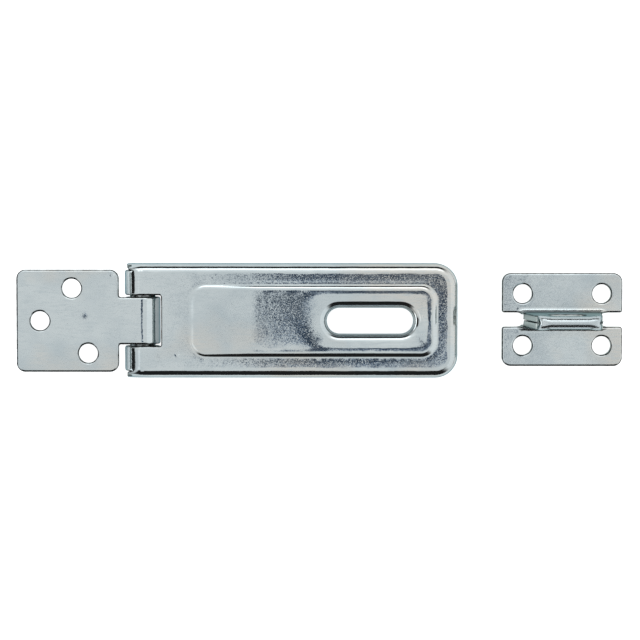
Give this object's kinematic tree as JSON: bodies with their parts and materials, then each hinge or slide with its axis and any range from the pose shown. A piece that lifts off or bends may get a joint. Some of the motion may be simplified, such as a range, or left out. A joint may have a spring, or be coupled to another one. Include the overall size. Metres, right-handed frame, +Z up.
{
  "type": "padlock hasp",
  "caption": "Hinged steel hasp with a slotted, rim-edged strap and a small screw leaf, with its folded staple for a padlock shackle lying beside it.",
  "frame": {"origin": "under the middle of the whole set, on the surface that the strap's rims and the staple's plates lie on", "axes": "+X runs along the strap from the screw leaf to the staple, +Y across it, +Z up out of the strap's outer side"},
  "size_m": [0.1592, 0.03, 0.0205],
  "materials": {
    "plated_sheet": "bright zinc-plated pressed steel, bluish",
    "plated_wire": "bright zinc-plated steel wire"
  },
  "bodies": {
    "strap": {"hasp_strap": "plated_sheet", "hinge_pin": "plated_wire", "staple": "plated_sheet"},
    "leaf": {"hinge_leaf": "plated_sheet"}
  },
  "joints": [
    {"name": "leaf_hinge", "type": "hinge", "parent": "strap", "child": "leaf", "pos_m": [-0.047, 0, 0.00465], "axis": [0, -1, 0], "range_deg": [-90, 180]}
  ]
}
